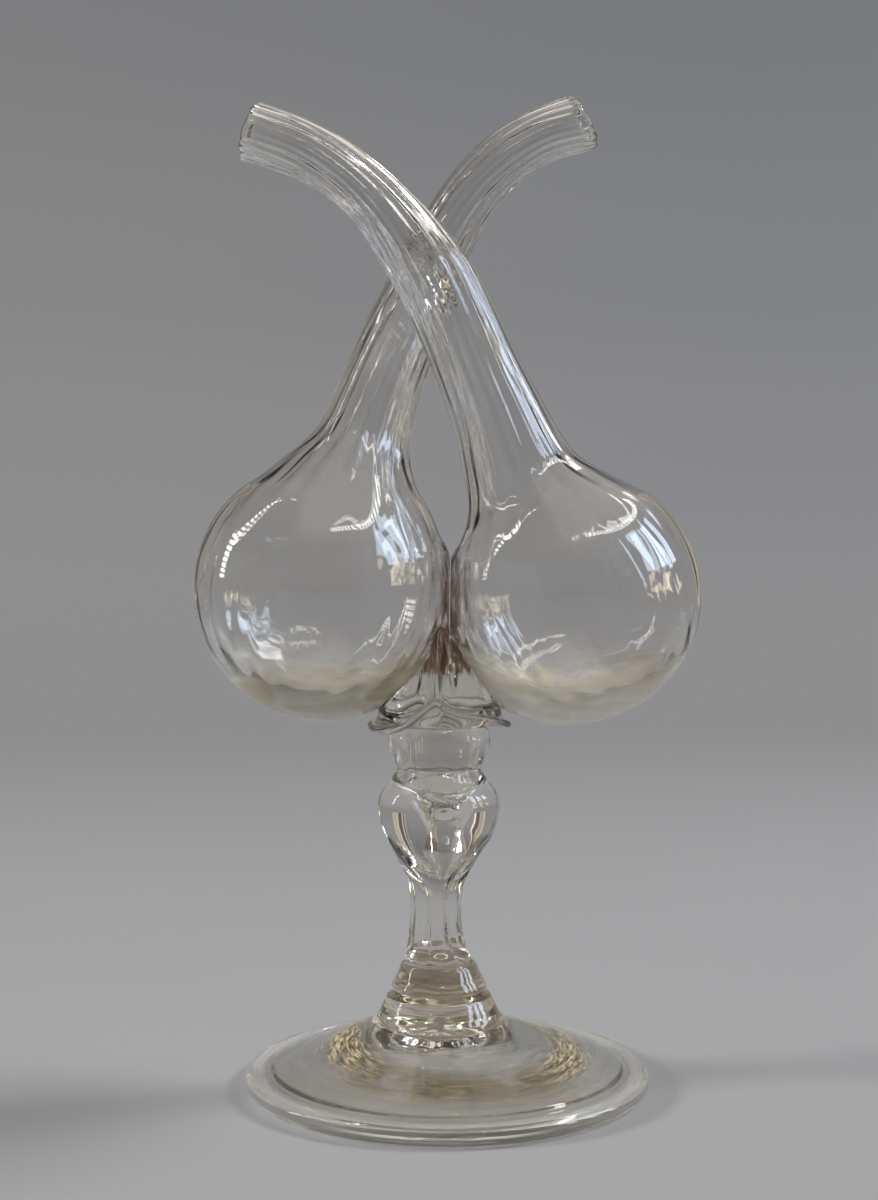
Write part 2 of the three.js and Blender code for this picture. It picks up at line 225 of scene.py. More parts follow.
CONE_OUT = [
    (CONE_FOOT, CONE_FOOT_RADIUS), (27.35, 13.5), (28.0, 13.8), (29.4, 13.3), (32.0, 11.9),
    (34.5, 10.7), (STEM_FOOT, STEM_FOOT_RADIUS),
]

# The tear of air: its lower tip, how far it leans aside and how uneven it is below these heights
AIR_TIP = 59.4
AIR_ASIDE = 1.2
AIR_UNEVEN = 0.10
AIR_BELOW = (76, 86)

# The baluster's moulded panels: how many, the front one's turn and half-width in degrees, their
# depth and the heights where it fades, how far the front one widens at its left and right as
# (from, to, degrees), and the crests between the panels
PANELS = {
    "count": 8, "turn": 8, "half": 21.5, "depth": 0.10, "full": 40, "from": 56, "to": 68,
    "left": (55, 71, 60), "right": (56, 82, 52), "crest": 0.34, "crest_width": 0.15,
    "crest_from": (37, 41), "crest_fades": (56, 66), "crest_fade": 0.85, "crest_ends": (72, 84),
}

# Profiles of the foot as (radius, height), from the cone out to the rim and back underneath, and
# the height of its underside in the middle
FOOT_TOP = [
    (CONE_FOOT_RADIUS, CONE_FOOT), (13.2, 26.7), (14.8, 25.6), (15.8, 23.7), (17.3, 20.8), (19.2, 18.5),
    (22.3, 16.7), (26.1, 15.1), (31.1, 13.2), (37.1, 11.0), (43.9, 8.5), (49.4, 6.3), (51.8, 5.0),
]
FOOT_UNDER = [
    (52.0, 1.4), (47.6, 2.8), (40.0, 5.1), (30.0, 8.0), (20.0, 10.9), (12.6, 12.7), (11.2, 13.9),
    (5.0, 14.2),
]
FOOT_MIDDLE = 13.9
FOOT = {
    "radius": 57.85, "fold": 2.7, "rest_from": 53.4, "rest_to": 55.8, "reach": 20, "plate": 44, "sides": 256,
    "rim_lines": 9, "rim_line": 0.07, "seam_at": 50.6, "seam_width": 0.5, "seam_depth": 0.22,
}


def smooth(x, low, high):
    """A soft step from 0 at low to 1 at high."""
    t = np.clip((np.asarray(x, float) - low) / (high - low), 0, 1)
    return t * t * (3 - 2 * t)


def between(rows, t):
    """Points of a smooth curve through rows, at t rows from the first."""
    rows = np.asarray(rows, float)
    last = len(rows) - 1
    i = np.clip(np.floor(t).astype(int), 0, last - 1)
    f = (t - i)[:, None]
    a = rows[np.clip(i - 1, 0, last)]
    b = rows[i]
    c = rows[i + 1]
    d = rows[np.clip(i + 2, 0, last)]
    return b + 0.5 * f * (c - a + f * (2 * a - 5 * b + 4 * c - d + f * (3 * (b - c) + d - a)))


def dense(rows, step):
    """The curve through rows with points about step apart along it."""
    fine = between(rows, np.linspace(0, len(rows) - 1, 60 * (len(rows) - 1) + 1))
    length = np.concatenate([[0], np.cumsum(np.linalg.norm(np.diff(fine, axis=0), axis=1))])
    at = np.linspace(0, length[-1], max(2, int(length[-1] / step) + 1))
    return np.stack([np.interp(at, length, fine[:, k]) for k in range(fine.shape[1])], axis=1)


def soften(rows, width):
    """Rows averaged over their neighbours, with both ends kept."""
    reach = int(3 * width)
    weight = np.exp(-0.5 * (np.arange(-reach, reach + 1) / width) ** 2)
    weight /= weight.sum()
    head = 2 * rows[0] - rows[reach:0:-1]
    tail = 2 * rows[-1] - rows[-2:-reach - 2:-1]
    padded = np.concatenate([head, rows, tail])
    return np.stack([np.convolve(padded[:, k], weight, "valid") for k in range(rows.shape[1])], axis=1)


def waves(points, length, seed, count=14):
    """A slow, irregular wave through space, between about -1 and 1, of the given wavelength."""
    random = np.random.default_rng(seed)
    total = np.zeros(points.shape[:-1])
    for _ in range(count):
        direction = random.normal(size=3)
        direction /= np.linalg.norm(direction)
        number = 2 * math.pi / (length * random.uniform(0.7, 1.6))
        total += np.sin(points @ (direction * number) + random.uniform(0, 2 * math.pi))
    return total / math.sqrt(count)


def angles(sides):
    return np.arange(sides) * 2 * math.pi / sides


def loft(rows, count, first=0, closed=False):
    """Faces between rings of count points, numbered from first. A closed loft ends where it began."""
    ids = first + np.arange(rows * count).reshape(rows, count)
    ahead = np.roll(ids, -1, axis=1)
    quads = np.stack([ids, ahead, np.roll(ahead, -1, axis=0), np.roll(ids, -1, axis=0)], axis=-1)
    return (quads if closed else quads[:-1]).reshape(-1, 4)


def tree_of(rings):
    """A lofted surface that rays can be cast at, in millimetres."""
    return BVHTree.FromPolygons(rings.reshape(-1, 3).tolist(), loft(*rings.shape[:2]).tolist())


def touching(rings, others, reach=FUSED_REACH):
    """Which faces of a lofted surface meet other glass within reach, straight outwards."""
    rings = np.asarray(rings, float)
    ahead = np.roll(rings, -1, axis=1)
    middle = (rings[:-1] + rings[1:] + ahead[:-1] + ahead[1:]) / 4
    outward = np.cross(ahead[:-1] - rings[1:], ahead[1:] - rings[:-1])
    outward /= np.linalg.norm(outward, axis=-1, keepdims=True) + 1e-12
    found = np.zeros(middle.shape[:2], dtype=bool)
    for at in np.ndindex(found.shape):
        start, aim = Vector(middle[at]), Vector(outward[at])
        found[at] = any(tree.ray_cast(start, aim, reach)[0] is not None for tree in others)
    return found


def new_object(name, data):
    thing = bpy.data.objects.new(name, data)
    bpy.context.scene.collection.objects.link(thing)
    return thing


def glass_piece(name, points, faces, in_joint, glass, joint):
    """A smooth object in metres. in_joint is 1 for each face that lies inside a fused joint."""
    mesh = bpy.data.meshes.new(name)
    mesh.from_pydata((points * MM).tolist(), [], faces)
    mesh.polygons.foreach_set("use_smooth", [True] * len(faces))
    mesh.materials.append(glass)
    mesh.materials.append(joint)
    mesh.polygons.foreach_set("material_index", in_joint.tolist())
    mesh.update()
    return new_object(name, mesh)


def skin(name, rings, first, last, glass, joint, caps=(), fused=None):
    """A closed mesh through rings of points, with a point that shuts each end. caps says which
    strips of faces lie inside a fused joint, where the glass runs on into the next piece, and
    fused says it face by face."""
    rows, count = rings.shape[:2]
    points = np.concatenate([[first], rings.reshape(-1, 3), [last]])
    quads = loft(rows, count, first=1)
    faces = quads.tolist()
    faces += [(0, b, a) for a, b in quads[:count, :2].tolist()]
    faces += [(len(points) - 1, a, b) for a, b in quads[-count:, 3:1:-1].tolist()]
    in_joint = np.zeros(len(faces), dtype=int)
    for strip in caps:
        if strip < 0:
            in_joint[len(quads):len(quads) + count] = 1
        elif strip >= rows - 1:
            in_joint[len(quads) + count:] = 1
        else:
            in_joint[strip * count:(strip + 1) * count] = 1
    if fused is not None:
        in_joint[:fused.size] |= fused.reshape(-1)
    return glass_piece(name, points, faces, in_joint, glass, joint)


def tube(name, rings, glass, joint, caps):
    """A closed ring-shaped mesh: the last ring of points joins the first."""
    rows, count = rings.shape[:2]
    faces = loft(rows, count, closed=True).tolist()
    in_joint = np.zeros(len(faces), dtype=int)
    for strip in caps:
        in_joint[strip * count:(strip + 1) * count] = 1
    return glass_piece(name, rings.reshape(-1, 3), faces, in_joint, glass, joint)


def place(piece, node):
    """Ties a visible piece to the CAD node that it stands for."""
    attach(piece, "root")
    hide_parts(node)


def flask_rows(flask):
    """The flask's centre line as dense rows (x, y, z, radius), from the pole to the mouth."""
    axis = np.array([math.sin(math.radians(flask["tilt"])), 0, math.cos(math.radians(flask["tilt"]))])
    centre = np.array(flask["centre"], float)

    def round_rows(latitudes):
        turn = np.radians(latitudes)[:, None]
        return np.hstack([centre + flask["radius"] * np.sin(turn) * axis, flask["radius"] * np.cos(turn)])

    coarse = round_rows(np.arange(-90 + BULB_STEP, flask["round_to"] + 1, BULB_STEP))
    stations = np.vstack([coarse, flask["neck"]])
    bend = len(coarse) - 2
    upper = between(stations, np.linspace(bend, len(stations) - 1, 60 * (len(stations) - 1 - bend) + 1))
    lower = round_rows(np.arange(-89, -90 + BULB_STEP * (bend + 1), 1.0))
    rows = dense(np.vstack([lower, upper]), RING_STEP)
    calm = soften(rows, 3.0)
    keep = smooth(np.arange(len(rows)), 4, 14)[:, None]
    return rows + (calm - rows) * keep


def settle(points, flask):
    """The sag of the bulb onto the collar, and the flat where it presses on its neighbour."""
    away = points - np.array(flask["centre"], float)
    far = np.linalg.norm(away, axis=-1, keepdims=True)
    turn = math.radians(flask["heel"]["turn"])
    heel = np.array([math.sin(turn), 0, -math.cos(turn)])
    angle = np.degrees(np.arccos(np.clip(away @ heel / far[..., 0], -1, 1))) / flask["heel"]["spread"]
    on_bulb = 1 - smooth(far[..., 0], BULB_REACH * flask["radius"], NECK_REACH * flask["radius"])
    sag = flask["heel"]["height"] * np.exp(-angle * angle) * on_bulb
    points = points + away / far * sag[..., None]
    free = flask["side"] * (points[..., 0] - CONTACT_X)
    drawn = free * smooth(free, *WEB) + CONTACT_GAP
    points[..., 0] += flask["side"] * (drawn - free) * on_bulb
    return points


def cords(angle, run, seed):
    """Fine ridges along the neck at irregular places, from 0 to about a tenth of a millimetre."""
    random = np.random.default_rng(seed)
    total = np.zeros((len(run), len(angle)))
    for _ in range(CORDS):
        apart = (np.degrees(angle) - random.uniform(0, 360) + 180) % 360 - 180
        ridge = random.uniform(*CORD_HEIGHT) * np.exp(-(apart / random.uniform(*CORD_WIDTH)) ** 2)
        fade = 0.75 + 0.25 * np.sin(run / random.uniform(20, 50) + random.uniform(0, 6))
        total += fade[:, None] * ridge[None, :]
    return total


def flask_relief(flask, run, angle, around, inside):
    """The ribs, waves, cords and wrinkles of a flask's outer or inner face, in millimetres."""
    seed = flask["seed"]
    off_pole = smooth(run, *RIBS_FROM)[:, None]
    off_mouth = smooth(run[-1] - run, *CALM_MOUTH)[:, None]
    twist = RIB_TWIST * np.sin(run / RIB_TWIST_LENGTH)[:, None]
    ribs = np.cos(RIBS * (angle[None, :] + twist) + RIB_SWAY * waves(around, 30, seed + 5))
    depth = -RIB_IN if inside else RIB_OUT
    depth = depth * (1 + NECK_RIBS * smooth(run, *NECK_RIBS_FROM)[:, None] * off_mouth)
    wave = (WAVE_IN if inside else WAVE_OUT) * waves(around, 22, seed + (1 if inside else 0))
    calm = WAVE_AT_MOUTH + (1 - WAVE_AT_MOUTH) * off_mouth
    bump = off_pole * depth * (ribs - 1) + off_pole * (wave - WAVE_OUT) * calm
    on_neck = smooth(run, *CORDS_FROM)[:, None] * off_mouth
    bump = bump - on_neck * cords(angle, run, seed + (7 if inside else 3))
    if inside:
        on_side = smooth(run, *WRINKLES_FROM)[:, None] * smooth(run, *WRINKLES_END)[:, None]
        bump = bump + WRINKLE_IN * waves(around * WRINKLE_CLOSE, 11, seed + 9) * on_side
    return bump


def flask_surface(flask, rows, inside):
    """Rings of the outer or the inner face of a flask, and the way that the flask runs at each."""
    run = np.arange(len(rows)) * RING_STEP
    to_mouth = run[-1] - run
    along = np.gradient(rows[:, :3], axis=0)
    along /= np.linalg.norm(along, axis=1, keepdims=True)
    across = np.cross(np.array([0.0, 1.0, 0.0]), along)
    across /= np.linalg.norm(across, axis=1, keepdims=True)
    through = np.cross(along, across)
    angle = angles(FLASK_SIDES)
    cos, sin = np.cos(angle)[None, :], np.sin(angle)[None, :]
    tall = np.zeros((len(rows), 1))
    length = np.repeat(run[:, None] * WAVE_DRAW, FLASK_SIDES, axis=1)
    around = np.stack([WAVE_RADIUS * cos + tall, WAVE_RADIUS * sin + tall, length], axis=-1)
    bump = flask_relief(flask, run, angle, around, inside)
    radius = rows[:, 3:4] - INSET + np.zeros((1, FLASK_SIDES))
    if not inside:
        radius = radius + np.minimum(bump, 0)
    outward = cos[..., None] * across[:, None, :] + sin[..., None] * through[:, None, :]
    points = rows[:, None, :3] + radius[..., None] * outward
    lean = -flask["side"] * math.tan(math.radians(flask["mouth_lean"])) * smooth(to_mouth, *LEANING_MOUTH)
    uneven = LIP_UNEVEN * smooth(to_mouth, *UNEVEN_MOUTH)[:, None] * waves(around, 17, flask["seed"] + 15)
    points += (lean[:, None] * radius * cos - uneven)[..., None] * along[:, None, :]
    points = settle(points, flask)
    if not inside:
        return points, along
    wall = BULB_WALL + (NECK_WALL - BULB_WALL) * smooth(run, *NECK_WALL_FROM)
    wall = wall + (MOUTH_WALL - NECK_WALL) * smooth(to_mouth, *THICK_MOUTH)
    centre = np.array(flask["centre"], float)
    away = points - centre
    away /= np.linalg.norm(away, axis=-1, keepdims=True)
    low = np.maximum(0, -away[..., 2]) ** 3
    aim = centre + (rows[:, None, :3] - centre) * smooth(run, *INWARD_FROM)[:, None, None]
    inward = aim - points
    inward /= np.linalg.norm(inward, axis=-1, keepdims=True)
    thick = wall[:, None] + BOTTOM_EXTRA * low + bump
    return points + inward * thick[..., None], along


def lip_rings(outer, inner, along, seed):
    """The fire-polished lip between the last outer and inner rings, a little uneven."""
    turns = np.linspace(0, math.pi, 11)[1:-1]
    angle = angles(FLASK_SIDES)
    ring = np.stack([12 * np.cos(angle), 12 * np.sin(angle), np.zeros(FLASK_SIDES)], axis=-1)
    forward = 0.75 * MOUTH_WALL * (1 + 0.12 * waves(ring, 9, seed))
    rings = []
    for turn in turns:
        share = (1 - math.cos(turn)) / 2
        middle = outer + (inner - outer) * share
        rings.append(middle + (forward * math.sin(turn))[:, None] * along)
    return rings


def blown_flask(flask, outer, along, others, glass, joint):
    """A flask as one open vessel: outside, lip and inside, fused to the others where they touch."""
    inner, _ = flask_surface(flask, flask_rows(flask), inside=True)
    lip = lip_rings(outer[-1], inner[-1], along[-1], flask["seed"])
    ends = outer[0].mean(axis=0), inner[0].mean(axis=0)
    rings = np.concatenate([outer, lip, inner[::-1]])
    piece = skin(flask["name"], rings, *ends, glass, joint, fused=touching(outer, others))
    place(piece, flask["node"])


def between_necks(point, trees):
    """The point, held clear of the neck in front of it and the neck behind it."""
    middle = Vector((point[0], 0, point[2]))
    hit = trees["right"].ray_cast(middle, Vector((0, -1, 0)))[0]
    if hit is not None:
        point[1] = max(point[1], hit.y + WELD["gap"])
    hit = trees["left"].ray_cast(middle, Vector((0, 1, 0)))[0]
    if hit is not None:
        point[1] = min(point[1], hit.y - WELD["gap"])
    return point


def weld_surface(trees):
    """The bead of glass pressed between the necks, shaped to fit them."""
    lean = math.radians(WELD["lean"])
    long_axis = np.array([math.sin(lean), 0, math.cos(lean)])
    wide_axis = np.array([math.cos(lean), 0, -math.sin(lean)])
    centre = np.array(WELD["centre"], float)
    rings = []
    for i in range(1, WELD["rows"]):
        latitude = -math.pi / 2 + math.pi * i / WELD["rows"]
        ring = []
        for turn in angles(WELD["sides"]):
            edge = 1 + 0.14 * math.sin(3 * turn + 5 * latitude) + 0.08 * math.sin(7 * turn + 3)
            out = math.cos(latitude) ** WELD["taper"] * edge
            point = centre + long_axis * WELD["along"] * math.sin(latitude)
            point = point + wide_axis * WELD["across"] * out * math.cos(turn)
            point[1] += WELD["through"] * out * math.sin(turn)
            ring.append(between_necks(point, trees))
        rings.append(ring)
    return np.array(rings)


def neck_weld(rings, trees, glass, joint):
    ends = rings[0].mean(axis=0), rings[-1].mean(axis=0)
    piece = skin("neck_weld_bead", rings, *ends, glass, joint, fused=touching(rings, trees.values()))
    place(piece, "neck_weld")


def stem_x(z):
    bow = smooth(z, STEM_BOW["from"], STEM_BOW["full"]) * (1 - smooth(z, STEM_BOW["fades"], STEM_BOW["to"]))
    return STEM_X + STEM_BOW["out"] * bow


def round_rings(radius, height):
    """Rings about the stem's axis. radius and height are arrays of rows by sides."""
    angle = angles(radius.shape[1])
    x = stem_x(height) + radius * np.cos(angle)[None, :]
    y = radius * np.sin(angle)[None, :]
    return np.stack([x, y, height + np.zeros_like(x)], axis=-1)


def turning_lines(height, points, seed):
    """Fine lines left by turning on the iron, between 0 and 1."""
    return 0.5 + 0.5 * np.sin(LINE_PITCH * height + LINE_SWAY * waves(points, 12, seed))


def worked(radius, height, swell, swell_length, seeds, lines=1.0, dimples=1.0):
    """The radius less a slow swell, turning lines and dimples, which spare both ends."""
    rings = round_rings(radius, height)
    row = np.arange(len(radius))
    ends = (smooth(row, 0, PLAIN_ROWS) * smooth(row[::-1], 0, PLAIN_ROWS))[:, None]
    radius = radius - swell * ends * (1 + waves(rings, swell_length, seeds[0]))
    radius = radius - lines * LINE_DEPTH * ends * turning_lines(height, rings, seeds[1])
    return radius - dimples * DIMPLES * ends * (1 + waves(rings, DIMPLE_LENGTH, seeds[2]))


def turned_rings(profile, sides, step=TURNED_STEP, swell=0.0, seed=1):
    """Rings of a profile of (height, radius) rows, turned on the stem's axis."""
    rows = dense(profile, step)
    height = np.repeat(rows[:, 0:1], sides, axis=1)
    radius = np.repeat(rows[:, 1:2], sides, axis=1)
    if swell:
        radius = worked(radius, height, swell, 9, (seed, seed + 1, seed + 2))
    return round_rings(radius, height)


def axis_point(z):
    return np.array([float(stem_x(z)), 0.0, z])


def lip_line(angle):
    """Reach, height and thickness of the collar's lip at each angle."""
    rows = np.array(LIP, float)
    turn = np.array([360.0, 0, 0, 0])
    line = dense(np.vstack([rows[-3:] - turn, rows, rows[:3] + turn]), 1.0)
    return [np.interp(np.degrees(angle), line[:, 0], line[:, k]) for k in (1, 2, 3)]


def hump(angle, at, width):
    """A soft hump of height 1 round the degree at."""
    return np.exp(-((np.degrees(angle) - at) / width) ** 2)


def collar_surface(trees):
    """The collar: seat, rolled lip, folded petals, and the ridge between the bulbs."""
    angle = angles(COLLAR["sides"])
    lip_at, height_at, thick = lip_line(angle)
    bead = thick / 2
    lip_at = lip_at + COLLAR["wave"] * np.sin(7 * angle + 1)
    ridge_at = 1 / np.hypot(np.cos(angle) / COLLAR["ridge_across"], np.sin(angle) / COLLAR["ridge_along"])
    radii = [KNOP_TOP_BORE + 0 * angle, KNOP_TOP_RADIUS + 0 * angle]
    heights = [KNOP_TOP + 0 * angle, KNOP_TOP + 0 * angle]
    under = lip_at - COLLAR["under"]
    for share in np.linspace(0.15, 1, 8):
        radii.append(KNOP_TOP_RADIUS + (under - KNOP_TOP_RADIUS) * share)
        heights.append(KNOP_TOP + (height_at - bead * 0.7 - KNOP_TOP) * share ** 1.6)
    for turn in np.radians(np.linspace(-120, 150, 16)):
        radii.append(lip_at - bead + bead * math.cos(turn))
        heights.append(height_at + bead * math.sin(turn))
    below = len(radii)
    fold = sum(depth * hump(angle, at, width) for depth, at, width in FOLDS)
    base_radius, base_height = radii[-1], heights[-1]
    bend = COLLAR["bend_front"] + (COLLAR["bend_side"] - COLLAR["bend_front"]) * np.cos(angle) ** 2
    for share in np.linspace(0.04, 1, 44):
        belly = math.sin(math.pi * share ** 0.7)
        radii.append(base_radius + (ridge_at - base_radius) * share + (fold - 1) * belly)
        heights.append(base_height + (COLLAR["ridge_z"] - base_height) * share ** bend)
    rings = round_rings(np.array(radii), np.array(heights))
    up = Vector((0, 0, 1))
    for point in rings[below:].reshape(-1, 3):
        start = Vector((point[0], point[1], KNOP_TOP - COLLAR["rays_below"]))
        for tree in trees.values():
            hit = tree.ray_cast(start, up)[0]
            if hit is not None:
                point[2] = min(point[2], hit.z - COLLAR["gap"])
    return rings


def pinched_collar(rings, trees, glass, joint):
    ends = axis_point(KNOP_TOP), rings[-1].mean(axis=0)
    caps = (0, len(rings) - 1)
    fused = touching(rings, trees.values())
    piece = skin("pinched_collar_glass", rings, *ends, glass, joint, caps=caps, fused=fused)
    place(piece, "pinched_collar")


def hollow_knop(glass, joint):
    """The knop: a swollen tube, fused to the collar above and the baluster below."""
    outside = turned_rings(KNOP_OUT, STEM_SIDES, swell=0.05, seed=31)
    rings = np.concatenate([outside, turned_rings(KNOP_BORE, STEM_SIDES)])
    caps = (len(outside) - 1, len(rings) - 1)
    piece = tube("hollow_knop_glass", rings, glass, joint, caps)
    place(piece, "knop")


def panelled_radius(rows, angle):
    """The baluster's radius with its moulded panels, and the crests where they meet."""
    height = rows[:, 0]
    depth = PANELS["depth"] * (1 - smooth(height, PANELS["from"], PANELS["to"]))
    depth = depth * smooth(height, STEM_FOOT, PANELS["full"])
    turned = np.degrees(angle)[None, :] + 90 - PANELS["turn"]
    turned = (turned + 180) % 360 - 180
    halves = []
    for low, high, spread in (PANELS["left"], PANELS["right"]):
        halves.append(PANELS["half"] + spread * smooth(height, low, high)[:, None])
    half = np.where(turned < 0, halves[0], halves[1])
    part = 180 / PANELS["count"]
    away = np.abs(turned)
    phase = np.where(away < half, part * away / half, part + (180 - part) * (away - half) / (180 - half))
    panel = np.abs(np.cos(np.radians(phase * PANELS["count"] / 2)))
    crest = PANELS["crest"] * np.exp(-(panel / PANELS["crest_width"]) ** 2)
    faint = 1 - PANELS["crest_fade"] * smooth(height, *PANELS["crest_fades"])
    faint = faint * (1 - smooth(height, *PANELS["crest_ends"]))
    crest = crest * smooth(height, *PANELS["crest_from"])[:, None] * faint[:, None]
    return rows[:, 1:2] * (1 - depth[:, None] * panel) + crest - INSET


def baluster(glass, joint):
    """The baluster: a round shoulder over eight moulded panels, with a tear of air inside."""
    sides = BALUSTER_SIDES
    rows = dense(BALUSTER_OUT, TURNED_STEP)
    height = np.repeat(rows[:, 0:1], sides, axis=1)
    radius = panelled_radius(rows, angles(sides))
    radius = worked(radius, height, 0.06, 10, (41, 42, 44), lines=0.5, dimples=0.6)
    outside = round_rings(radius, height)
    air = turned_rings(BALUSTER_AIR, sides)
    low = 1 - smooth(air[..., 2], *AIR_BELOW)
    swell = 1 + AIR_UNEVEN * low * waves(air, 9, 43)
    axis = stem_x(air[..., 2])
    air[..., 0] = axis + (air[..., 0] - axis) * swell + AIR_ASIDE * low
    air[..., 1] = air[..., 1] * swell
    rings = np.concatenate([outside, air])
    ends = axis_point(STEM_FOOT), axis_point(AIR_TIP) + [AIR_ASIDE, 0, 0]
    piece = skin("baluster_stem_glass", rings, *ends, glass, joint, caps=(-1, len(outside) - 1))
    place(piece, "baluster_stem")


def stem_cone(glass, joint):
    """The short cone, fused to the stem above and the foot below, with a bead at its edge."""
    rings = turned_rings(CONE_OUT, STEM_SIDES, step=TURNED_STEP / 2, swell=0.03, seed=51)
    ends = axis_point(CONE_FOOT), axis_point(STEM_FOOT)
    piece = skin("stem_cone_glass", rings, *ends, glass, joint, caps=(-1, len(rings) - 1))
    place(piece, "stem_cone")


def foot_profile():
    """The foot's profile as (radius, height), from the top of the dome round to its underside."""
    top = dense(FOOT_TOP, TURNED_STEP)
    rim_centre = FOOT["radius"] - FOOT["fold"]
    turns = np.radians(np.arange(140, -50, -4))
    roll = FOOT["fold"] - FOOT["rim_line"] * (0.5 + 0.5 * np.sin(FOOT["rim_lines"] * turns))
    rim = np.stack([rim_centre + roll * np.cos(turns), FOOT["fold"] + roll * np.sin(turns)], axis=1)
    rest = np.array([[FOOT["rest_to"], 0.0], [FOOT["rest_from"], 0.0]])
    return np.vstack([top, rim, rest, dense(FOOT_UNDER, TURNED_STEP)]), len(top)


def domed_foot(glass, joint):
    """The foot: a dome off its centre, turning lines, a folded rim and a rough pontil mark."""
    profile, top_count = foot_profile()
    sides = FOOT["sides"]
    angle = angles(sides)
    radius = np.repeat(profile[:, 0:1], sides, axis=1)
    height = np.repeat(profile[:, 1:2], sides, axis=1)
    flat = np.stack([radius * np.cos(angle), radius * np.sin(angle), height], axis=-1)
    plate = smooth(radius, 17, 24) * (1 - smooth(radius, 49, 53))
    is_top = (np.arange(len(profile)) < top_count)[:, None]
    lines = np.sin(radius * 3.1 + 0.9 * waves(flat * 0.15, 20, 61)) * 0.008
    lines += np.sin(radius * 1.3 + 1.3 * waves(flat * 0.2, 20, 62)) * 0.022
    height = height + plate * (lines + 0.10 * waves(flat, 30, 63)) * np.where(is_top, 1, 0.6)
    seam = FOOT["seam_depth"] * np.exp(-((radius - FOOT["seam_at"]) / FOOT["seam_width"]) ** 2)
    height = height - seam * is_top
    dome = smooth(height, 16.5, 18.5) * (1 - smooth(height, 25.5, 26.8)) * is_top
    radius = radius - dome * 1.3 * LINE_DEPTH * turning_lines(height, flat, 65)
    radius = radius - dome * DIMPLES * (1 + waves(flat, DIMPLE_LENGTH, 66))
    pontil = (1 - smooth(radius, 9.5, 11.5)) * (1 - is_top)
    height = height + pontil * (0.5 * waves(flat, 5, 64) - 0.4)
    shift = STEM_X * (1 - smooth(radius, FOOT["reach"], FOOT["plate"]))
    points = np.stack([radius * np.cos(angle) + shift, radius * np.sin(angle), height], axis=-1)
    ends = np.array([STEM_X, 0.0, FOOT_MIDDLE]), axis_point(CONE_FOOT)
    piece = skin("domed_foot_glass", points[::-1], *ends, glass, joint, caps=(len(points) - 1,))
    place(piece, "foot")


class Nodes:
    """Short calls that build a node tree."""

    def __init__(self, tree):
        self.tree = tree
        tree.nodes.clear()

    def add(self, kind, inputs=None, **settings):
        node = self.tree.nodes.new(kind)
        for key, value in settings.items():
            setattr(node, key, value)
        for key, value in (inputs or {}).items():
            if isinstance(value, bpy.types.NodeSocket):
                self.tree.links.new(value, node.inputs[key])
            else:
                node.inputs[key].default_value = value
        return node

    def math(self, operation, *values):
        inputs = dict(enumerate(values))
        return self.add("ShaderNodeMath", inputs, operation=operation).outputs[0]

    def times(self, first, *others):
        for other in others:
            first = self.math("MULTIPLY", first, other)
        return first

    def vector(self, operation, *values):
        """A vector operation: its vector, or its value for a length or a distance."""
        node = self.add("ShaderNodeVectorMath", dict(enumerate(values)), operation=operation)
        return node.outputs["Value" if operation in ("LENGTH", "DISTANCE") else "Vector"]

    def axes(self, at):
        return self.add("ShaderNodeSeparateXYZ", {0: at}).outputs

    def noise(self, at, scale, detail, distortion=0.0):
        inputs = {"Vector": at, "Scale": scale, "Detail": detail, "Distortion": distortion}
        return self.add("ShaderNodeTexNoise", inputs).outputs[0]

    def stretched(self, at, scale):
        return self.add("ShaderNodeMapping", {"Vector": at, "Scale": scale}).outputs[0]

    def step(self, value, low, high):
        """A soft step from 0 at low to 1 at high."""
        inputs = {"Value": value, "From Min": low, "From Max": high}
        return self.add("ShaderNodeMapRange", inputs, interpolation_type="SMOOTHSTEP").outputs["Result"]

    def mix(self, share, a, b):
        """Colour a turned into colour b by share."""
        return self.add("ShaderNodeMix", {0: share, 6: a, 7: b}, data_type="RGBA").outputs[2]

    def inside(self, value, low, high, soft):
        """1 between low and high, 0 outside, with soft edges."""
        rise = self.step(value, low - soft, low + soft)
        fall = self.step(value, high + soft, high - soft)
        return self.math("MULTIPLY", rise, fall)


def new_material(name):
    material = bpy.data.materials.new(name)
    material.use_nodes = True
    return material, Nodes(material.node_tree)


def grey(level):
    return (level, level, level, 1.0)


# The plain backdrop: its colours at rising heights, and its tints at the left and the right
BACKDROP = [
    (0.0, (0.270, 0.270, 0.276)), (0.10, (0.255, 0.255, 0.262)), (0.20, (0.228, 0.230, 0.239)),
    (0.36, (0.196, 0.200, 0.210)),
]
BACKDROP_WARM = (1.035, 1.025, 1.0, 1.0)
BACKDROP_COOL = (0.95, 0.96, 0.985, 1.0)
TINT_ACROSS = (-0.25, 0.25)
TINT_ABOVE = (-0.03, 0.10)
ROOM_FILL = 0.22

# The room as the glass mirrors it, in linear levels. Its walls stand at bearings, in degrees: 0
# towards the camera's side, 90 to the right and 180 behind, where the backdrop takes over.
BACKDROP_FROM = (152, 160)
WALL_LIGHT = (0.60, 0.54, 0.44, 1.0)
WALL_DARK = (0.12, 0.095, 0.07, 1.0)
WALL_BRIGHT = (1.7, 1.6, 1.4, 1.0)
WALL_STRIPES = 0.32
STRIPE_LIGHT = (0.44, 0.52)
STRIPE_BRIGHT = (0.62, 0.66)
DOOR_FRAMES = (150.5, 154)
WALL_PLAIN = (0.27, 0.264, 0.255, 1.0)
PLAIN_WALL = (141, 145)
VIEWER_SHADE = (0.11, 0.095, 0.08, 1.0)
VIEWER_BEARING = (-34, 34)
VIEWER_HEIGHT = (-90, 50)

